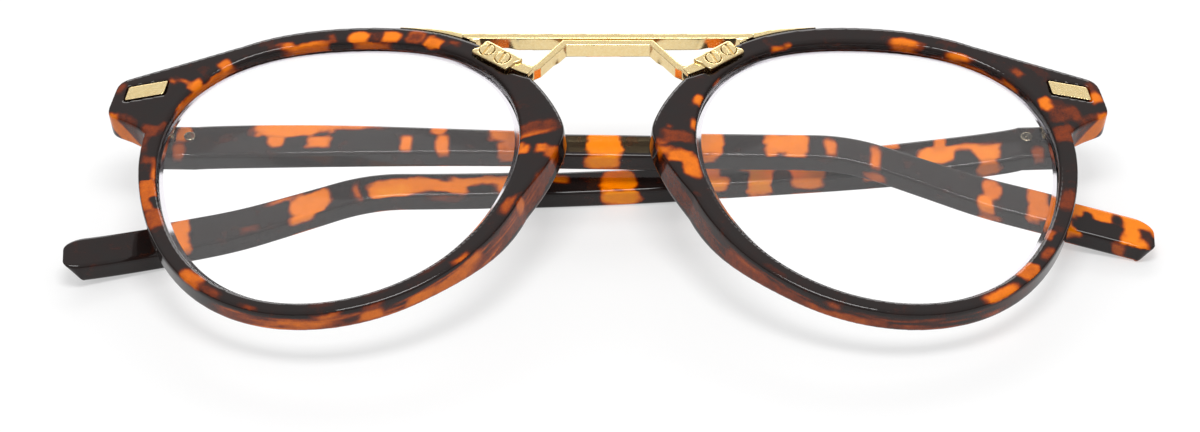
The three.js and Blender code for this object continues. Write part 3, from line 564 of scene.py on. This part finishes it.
# A point of the section, counted round its two tall flats, two deep flats and four round corners
def sectionPoint(index, half, thick, edge):
    corner, tall, deep = templeShape["cornerSteps"], templeShape["tallSteps"], templeShape["deepSteps"]
    runs = ((tall, (-half + edge, thick), (half - edge, thick)), (corner, (half - edge, thick - edge), 90),
            (deep, (half, thick - edge), (half, edge - thick)), (corner, (half - edge, edge - thick), 0),
            (tall, (half - edge, -thick), (-half + edge, -thick)), (corner, (edge - half, edge - thick), 270),
            (deep, (-half, edge - thick), (-half, thick - edge)), (corner, (edge - half, thick - edge), 180))
    for count, start, end in runs:
        if index < count:
            share = index / count
            if isinstance(end, tuple):
                return start[0] + (end[0] - start[0]) * share, start[1] + (end[1] - start[1]) * share
            turn = math.radians(end - 90 * share)
            return start[0] + edge * math.cos(turn), start[1] + edge * math.sin(turn)
        index -= count
    return -half + edge, thick


def hingeFrame(side):
    centre = sideFrame[side].inverted() @ pin[side]
    lean = Matrix.Rotation(-math.radians(templeShape["lean"][side]), 4, "Z")
    return sideFrame[side] @ Matrix.Translation(centre) @ lean


def buildTemple(side):
    place = hingeFrame(side)
    across = 2 * (templeShape["tallSteps"] + templeShape["deepSteps"]) + 4 * templeShape["cornerSteps"]
    tipStart = templeShape["length"] - templeShape["tipRound"]
    along = templeShape["stations"] + templeShape["tipStations"]

    def onTemple(u, v):
        step = round(v * along)
        shrink, slant = 1.0, 0.0
        if step <= templeShape["stations"]:
            s = -templeShape["butt"] + (tipStart + templeShape["butt"]) * step / templeShape["stations"]
            square = float(easeBetween(s, *templeShape["mitreFade"]))
            slant = math.tan(math.radians(templeShape["mitre"])) * (1 - square)
        else:
            turn = math.pi / 2 * (step - templeShape["stations"]) / templeShape["tipStations"]
            s = tipStart + templeShape["tipRound"] * math.sin(turn)
            shrink = templeShape["tipBlunt"] + (1 - templeShape["tipBlunt"]) * math.cos(turn)
            slant = -math.tan(math.radians(templeShape["tipMitre"])) * math.sin(turn)
        half, thick = float(heightAt(s)) / 2 * shrink, templeShape["thick"] / 2 * math.sqrt(shrink)
        y, z = sectionPoint(round(u * across) % across, half, thick, templeShape["edge"] * shrink)
        middle = -templeShape["inset"] - templeShape["thick"] / 2 - float(bowAt(s, templeShape["bow"][side]))
        return place @ Vector((s + slant * (thick - z), y - templeShape["drop"] - float(hookAt(s)), middle + z))

    return wrapGrid(side + "TempleArm", across, along, onTemple)


# Cut-outs for the hinge, as the solids have them: leaf slot, knuckle notch, knuckle relief and rivet hole
hingeCuts = {"boxes": (((-4.25, -1.75, -3.05), (7.45, 1.75, -1.7)), ((-4.25, -0.9, -1.95), (2.95, 0.9, 1.8))),
             "rods": (("Y", 1.4, (0, 0, 0), 8.8), ("Z", 0.7, (5.0, 0, -1.0), 5.3)), "rodSides": 48}


def cutHinge(temple, side):
    place = hingeFrame(side)
    cutters = []
    for low, high in hingeCuts["boxes"]:
        deselectAll()
        bpy.ops.mesh.primitive_cube_add(size=1)
        size = Matrix.Diagonal([h - l for l, h in zip(low, high)] + [1])
        bpy.context.object.data.transform(place @ Matrix.Translation((Vector(low) + Vector(high)) / 2) @ size)
        cutters.append(bpy.context.object)
    for axis, radius, centre, length in hingeCuts["rods"]:
        deselectAll()
        bpy.ops.mesh.primitive_cylinder_add(vertices=hingeCuts["rodSides"], radius=radius, depth=length)
        turn = Matrix.Rotation(math.pi / 2, 4, "X") if axis == "Y" else Matrix()
        bpy.context.object.data.transform(place @ Matrix.Translation(centre) @ turn)
        cutters.append(bpy.context.object)
    for cutter in cutters:
        closeShape(cutter)
        applyModifier(temple, "BOOLEAN", operation="DIFFERENCE", object=cutter, solver="EXACT")
        bpy.data.objects.remove(cutter)


# Places on a temple: mm from the hinge, and mm down its inner face from the middle, then on round its lower side
templePatches = {
    "left": [
        (4, -1.5, 1.2, 1.7, 0.9), (3.5, 2.5, 1.0, 1.6, 0.6), (27, -2.9, 6.5, 1.0, 0.82), (20, -2.4, 5.2, 1.7, 1.0),
        (17.8, 0.6, 1.2, 1.2, 0.95), (24, 0.7, 1.6, 1.1, 0.95), (36.8, 0.8, 1.0, 1.6, 0.95),
        (41.6, -2.2, 1.2, 1.2, 0.85), (42.2, 1.2, 1.0, 2.2, 0.9), (51.5, -1.5, 2.5, 1.7, 0.78),
        (51.8, 2.2, 1.8, 2.2, 0.7), (59, 2.8, 1.0, 1.5, 0.66), (66, 0, 2.4, 2.7, 1.0), (66, 3.6, 2.4, 1.4, 1.1),
        (82, -0.4, 1.7, 2.3, 0.98), (81.5, 3.0, 1.4, 0.9, 0.82), (93.2, -0.2, 3.0, 1.9, 1.0),
        (91, 1.6, 1.0, 0.9, 0.92), (94.2, 1.6, 1.8, 1.1, 0.95), (99.3, 0.2, 0.9, 1.6, 0.84),
        (106, 0.8, 0.9, 2.2, 0.82), (106, 4.8, 1.6, 0.9, 0.66), (122.6, -0.4, 1.3, 2.2, 0.78),
        (122, 2.8, 1.2, 1.8, 1.0), (122.5, 5.3, 1.6, 0.9, 0.62), (129.5, 0, 1.5, 3.2, 0.82),
        (134.5, 0.8, 1.3, 3.2, 1.0), (140.5, -1.7, 6.5, 1.5, 0.98), (143, 1.4, 2.2, 1.9, 1.0),
        (141.3, 4.4, 1.0, 1.3, 0.62), (138.6, 1.3, 3.0, 1.6, 0.05), (136.9, -0.6, 0.8, 0.9, 0.1),
        (141.2, -1.2, 0.7, 1.3, 0.2), (145.2, 0.4, 0.9, 1.3, 0.3)],
    "right": [
        (3.5, 3.0, 1.0, 1.6, 0.56), (14.5, -0.5, 4.2, 0.7, 0.9), (11.4, 1.0, 2.4, 1.7, 1.05),
        (18.2, 0.6, 2.6, 1.6, 1.05), (17.7, -2.0, 0.9, 1.6, 0.86), (11, 3.9, 1.6, 1.5, 0.85),
        (14.3, 2.2, 1.6, 1.9, 0.05), (24.5, -2.6, 1.2, 1.0, 0.8), (27.3, 0.2, 1.0, 2.0, 0.84),
        (27.8, 3.6, 1.3, 0.9, 0.72), (40.5, -0.9, 6.2, 1.5, 1.0), (37.2, 1.3, 2.6, 1.7, 1.08),
        (37.2, 3.4, 2.5, 1.3, 0.98), (44, 2.0, 1.9, 2.8, 1.1), (41, 2.8, 1.2, 2.4, 0.05), (51.6, -0.3, 1.8, 1.6, 1.0),
        (50.4, 2.3, 1.7, 1.6, 1.1), (65, 0.2, 2.6, 2.1, 1.02), (65, 3.6, 2.6, 1.5, 1.15),
        (74.6, -0.8, 2.0, 0.8, 0.82), (88.5, 0.2, 7.5, 1.5, 0.98), (97.5, 0.6, 4.4, 1.5, 0.98),
        (99, 1.2, 2.8, 1.1, 1.08), (86, 1.5, 1.7, 1.2, 0.1), (91, -1.2, 0.8, 0.6, 0.3), (91, 3.0, 3.0, 0.8, 0.42),
        (103.8, 0.8, 0.6, 1.9, 0.7), (110.6, 0.1, 2.8, 2.0, 0.96), (111.8, 2.8, 1.8, 1.0, 1.0),
        (114.8, -2.0, 2.2, 0.5, 0.75), (119.5, 2.0, 1.6, 0.8, 0.4), (129.6, 0.4, 1.4, 3.2, 0.9)],
}


def paintTemple(temple, side):
    points = pointsIn(temple, hingeFrame(side))
    s = points[:, 0]
    half = heightAt(s) / 2
    y = points[:, 1] + templeShape["drop"] + hookAt(s)
    inner = -templeShape["inset"] - bowAt(s, templeShape["bow"][side])
    deep = np.clip(inner - points[:, 2], 0, templeShape["thick"])
    through = np.clip(-y, -half, half)
    across = np.where((half + y < deep) & (y < 0), half + deep, through)
    # The temples' higher lift is painted glow: their amber brightened for light passing through them in the front's
    # shade
    laid = 1.0, templePatches[side], templeShape["patchLift"]
    amber = layPatches(s, across, *laid)
    sheet = layPatches(s, through, *laid)
    storeAmber(temple, amber + (sheet - amber) * easeBetween(deep, *templeShape["backFade"]))


for side in ("left", "right"):
    temple = buildTemple(side)
    cutHinge(temple, side)
    paintTemple(temple, side)
    finishPiece(temple, [tortoise], side + "_temple", side + "_temple")
    activate(temple)
    bpy.ops.object.shade_smooth_by_angle(angle=math.radians(templeShape["smooth"]))
print("temples made")

# Metal pieces, rounded as tumbled and plated parts are: grain in mm and passes
metalFinish = {"bar": (0.085, 4), "fastener": (0.055, 3), "hinge": (0.07, 3)}
metalParts = [("bridge", gold, "gold", "front", "bar"), ("brow_bar", gold, "gold", "front", "bar")]
for side in ("left", "right"):
    for part in ("outer_bridge_screw", "inner_bridge_screw", "inlay", "brow_pin"):
        metalParts.append((side + "_" + part, gold, "gold", "front", "fastener"))
    for part in ("front_hinge_leaf", "hinge_screw", "front_hinge_rivet"):
        metalParts.append((side + "_" + part, steel, "steel", "front", "hinge"))
    for part in ("temple_hinge_leaf", "temple_hinge_rivet"):
        metalParts.append((side + "_" + part, steel, "steel", side + "_temple", "hinge"))

# The bridge's plates: slanted ends above the rim, and a narrow neck to the strip; the outer screws stand turned
plateShape = {"at": 40.36, "out": 2.726, "turn": -40, "slant": 0.445, "end": 3.25, "endSlack": 0.05, "from": -4,
              "halfWidth": 2.2, "face": (-0.05, 0.15), "screwsAt": (-1.9, 1.1), "screwRoom": (1.25, 1.5),
              "screwTurn": 40}
neckShape = {"end": 6.05, "top": 1.23, "shares": (0.85, 1.0), "fadeIn": (2.9, 3.25), "fadeOut": (5.65, 6.15),
             "back": (-0.9, -0.62)}


def plateFrame(side):
    at = math.radians(plateShape["at"])
    reach = float(openingAt(at)) + plateShape["out"]
    spot = Matrix.Translation((reach * math.cos(at), reach * math.sin(at), 0))
    return sideFrame[side] @ rimPlace @ spot @ Matrix.Rotation(math.radians(plateShape["turn"]), 4, "Z")


def shapeBridge(bridge):
    low, high = neckShape["shares"]
    for side in ("left", "right"):
        points = pointsIn(bridge, plateFrame(side))
        x, y, z = points.T.copy()
        near = (np.abs(y) < plateShape["halfWidth"]) & (x > plateShape["from"])
        onNeck = easeBetween(x, *neckShape["fadeIn"]) * (1 - easeBetween(x, *neckShape["fadeOut"]))
        along = np.clip((x - plateShape["end"]) / (neckShape["end"] - plateShape["end"]), 0, 1)
        aimed = neckShape["top"] - (neckShape["top"] - y) * (low + (high - low) * along)
        points[:, 1] = np.where(near, y + (aimed - y) * onNeck * easeBetween(z, *neckShape["back"]), y)
        clear = np.min([np.hypot(x - at, y) for at in plateShape["screwsAt"]], axis=0)
        onEnds = (np.abs(x) < plateShape["end"] + plateShape["endSlack"]) & (x * y > 0)
        onPlate = easeBetween(z, *plateShape["face"]) * easeBetween(clear, *plateShape["screwRoom"]) * onEnds
        points[:, 0] = np.where(near, x + plateShape["slant"] * y * onPlate, x)
        setPoints(bridge, points, plateFrame(side))


# Behind their front edges the strip and the bar lean a little to the chin side, less towards the legs and the arms
barShape = {"lean": 0.42, "depth": 2.1, "middle": 5, "legEnds": (2.2, 3.6), "barEnds": (13, 15)}


def leanBack(bar, node):
    points = pointsIn(bar, frontFrame)
    x, y, z = points.T.copy()
    level = np.abs(x) < barShape["middle"]
    behind = np.clip((z[level].max() - z) / barShape["depth"], 0, 1)
    if node == "bridge":
        upright = easeBetween(y[level].max() - y, *barShape["legEnds"])
    else:
        upright = easeBetween(np.abs(x), *barShape["barEnds"])
    points[:, 1] = y - barShape["lean"] * behind * (1 - upright)
    setPoints(bar, points, frontFrame)


# The brow bar's arms thin out along the rims, almost to nothing at their tips
armShape = {"gap": 0.25, "height": 2, "thinning": 0.85, "along": (58, 73)}


def shapeArms(bar):
    for side in ("left", "right"):
        points = pointsIn(bar, sideFrame[side] @ rimPlace)
        angle = np.arctan2(points[:, 1], points[:, 0])
        reach = np.hypot(points[:, 0], points[:, 1])
        rest = openingAt(angle) + wallAt(angle) + armShape["gap"]
        thin = 1 - armShape["thinning"] * easeBetween(np.degrees(angle), *armShape["along"])
        thin = np.where(reach < rest + armShape["height"], thin, 1)
        points[:, :2] *= ((rest + (reach - rest) * thin) / reach)[:, None]
        setPoints(bar, points, sideFrame[side] @ rimPlace)


def turnScrew(screw, side):
    axis = plateFrame(side) @ Matrix.Translation((plateShape["screwsAt"][0], 0, 0))
    screw.data.transform(axis @ Matrix.Rotation(math.radians(plateShape["screwTurn"]), 4, "Z") @ axis.inverted())


for node, material, slot, body, finish in metalParts:
    words = node.split("_")
    metal = copyOf(node, words[0] + "".join(word.capitalize() for word in words[1:]) + "Metal")
    if "outer" in words:
        turnScrew(metal, words[0])
    tumble(metal, *metalFinish[finish])
    if node == "bridge":
        shapeBridge(metal)
    if node == "brow_bar":
        shapeArms(metal)
    if finish == "bar":
        leanBack(metal, node)
    finishPiece(metal, [material], body, node)
print("metal made")

# Floor and light: a white sweep, a broad lamp overhead, a wider and weaker one behind, and a pale room
floorPlan = {"size": 3.0, "colour": "#e2e2e2", "roughness": 0.9, "white": 0.42, "through": 0.62, "glow": 1.1}
deselectAll()
bpy.ops.mesh.primitive_plane_add(size=floorPlan["size"], location=(0, 0, 0))
floor = bpy.context.object
floor.name = "paleFloor"
floorPaint, tree = newMaterial("mattWhiteFloorPaint")
shader = addNode(tree, "ShaderNodeBsdfPrincipled", {"Base Color": paint(floorPlan["colour"]),
                                                    "Roughness": floorPlan["roughness"], "Specular IOR Level": 0.0})
white = addNode(tree, "ShaderNodeEmission", {"Strength": floorPlan["glow"]})
path = addNode(tree, "ShaderNodeLightPath")
seen = addNode(tree, "ShaderNodeMath", {"operation": "MAXIMUM"},
               {0: path.outputs["Is Camera Ray"], 1: path.outputs["Is Glossy Ray"]})
direct = addNode(tree, "ShaderNodeMath", {"operation": "MULTIPLY", 1: floorPlan["white"]}, {0: seen.outputs[0]})
share = addNode(tree, "ShaderNodeMath", {"operation": "MULTIPLY_ADD", 1: floorPlan["through"]},
                {0: path.outputs["Is Transmission Ray"], 2: direct.outputs[0]})
mixed = addNode(tree, "ShaderNodeMixShader", None, {0: share.outputs[0], 1: shader.outputs[0], 2: white.outputs[0]})
addNode(tree, "ShaderNodeOutputMaterial", None, {"Surface": mixed.outputs[0]})
floor.data.materials.append(floorPaint)

lampPlan = {"overhead": {"at": (0, -60, 560), "size": (0.24, 0.16), "power": 1.7},
            "behind": {"at": (0, 560, 215), "size": (0.5, 0.26), "power": 1.6}}
for name, plan in lampPlan.items():
    lamp = bpy.data.objects.new(name + "Lamp", bpy.data.lights.new(name + "Lamp", "AREA"))
    lamp.data.shape = "RECTANGLE"
    lamp.data.size, lamp.data.size_y = plan["size"]
    lamp.data.energy = plan["power"]
    lamp.location = frontFrame @ Vector(plan["at"])
    aim = (frontFrame @ Vector((0, 0, 0))) - lamp.location
    lamp.rotation_euler = aim.to_track_quat("-Z", "Y").to_euler()
    bpy.context.scene.collection.objects.link(lamp)

worldPlan = {"low": 0.25, "high": 0.8, "from": 0.2, "to": 0.75}  # levels near the horizon and overhead
world = bpy.data.worlds.new("paleRoom")
bpy.context.scene.world = world
world.use_nodes = True
tree = world.node_tree
tree.nodes.clear()
path = addNode(tree, "ShaderNodeLightPath")
heading = addNode(tree, "ShaderNodeTexCoord")
height = addNode(tree, "ShaderNodeSeparateXYZ", None, {0: heading.outputs["Generated"]})
fade = addNode(tree, "ShaderNodeMapRange",
               {"From Min": worldPlan["from"], "From Max": worldPlan["to"],
                "To Min": worldPlan["low"], "To Max": worldPlan["high"]}, {"Value": height.outputs["Z"]})
level = addNode(tree, "ShaderNodeMath", {"operation": "MAXIMUM"},
                {0: path.outputs["Is Camera Ray"], 1: fade.outputs["Result"]})
sky = addNode(tree, "ShaderNodeBackground", {"Color": (1, 1, 1, 1)}, {"Strength": level.outputs[0]})
addNode(tree, "ShaderNodeOutputWorld", None, {"Surface": sky.outputs[0]})
bpy.context.scene.view_settings.view_transform = "Standard"
print("floor and light set")
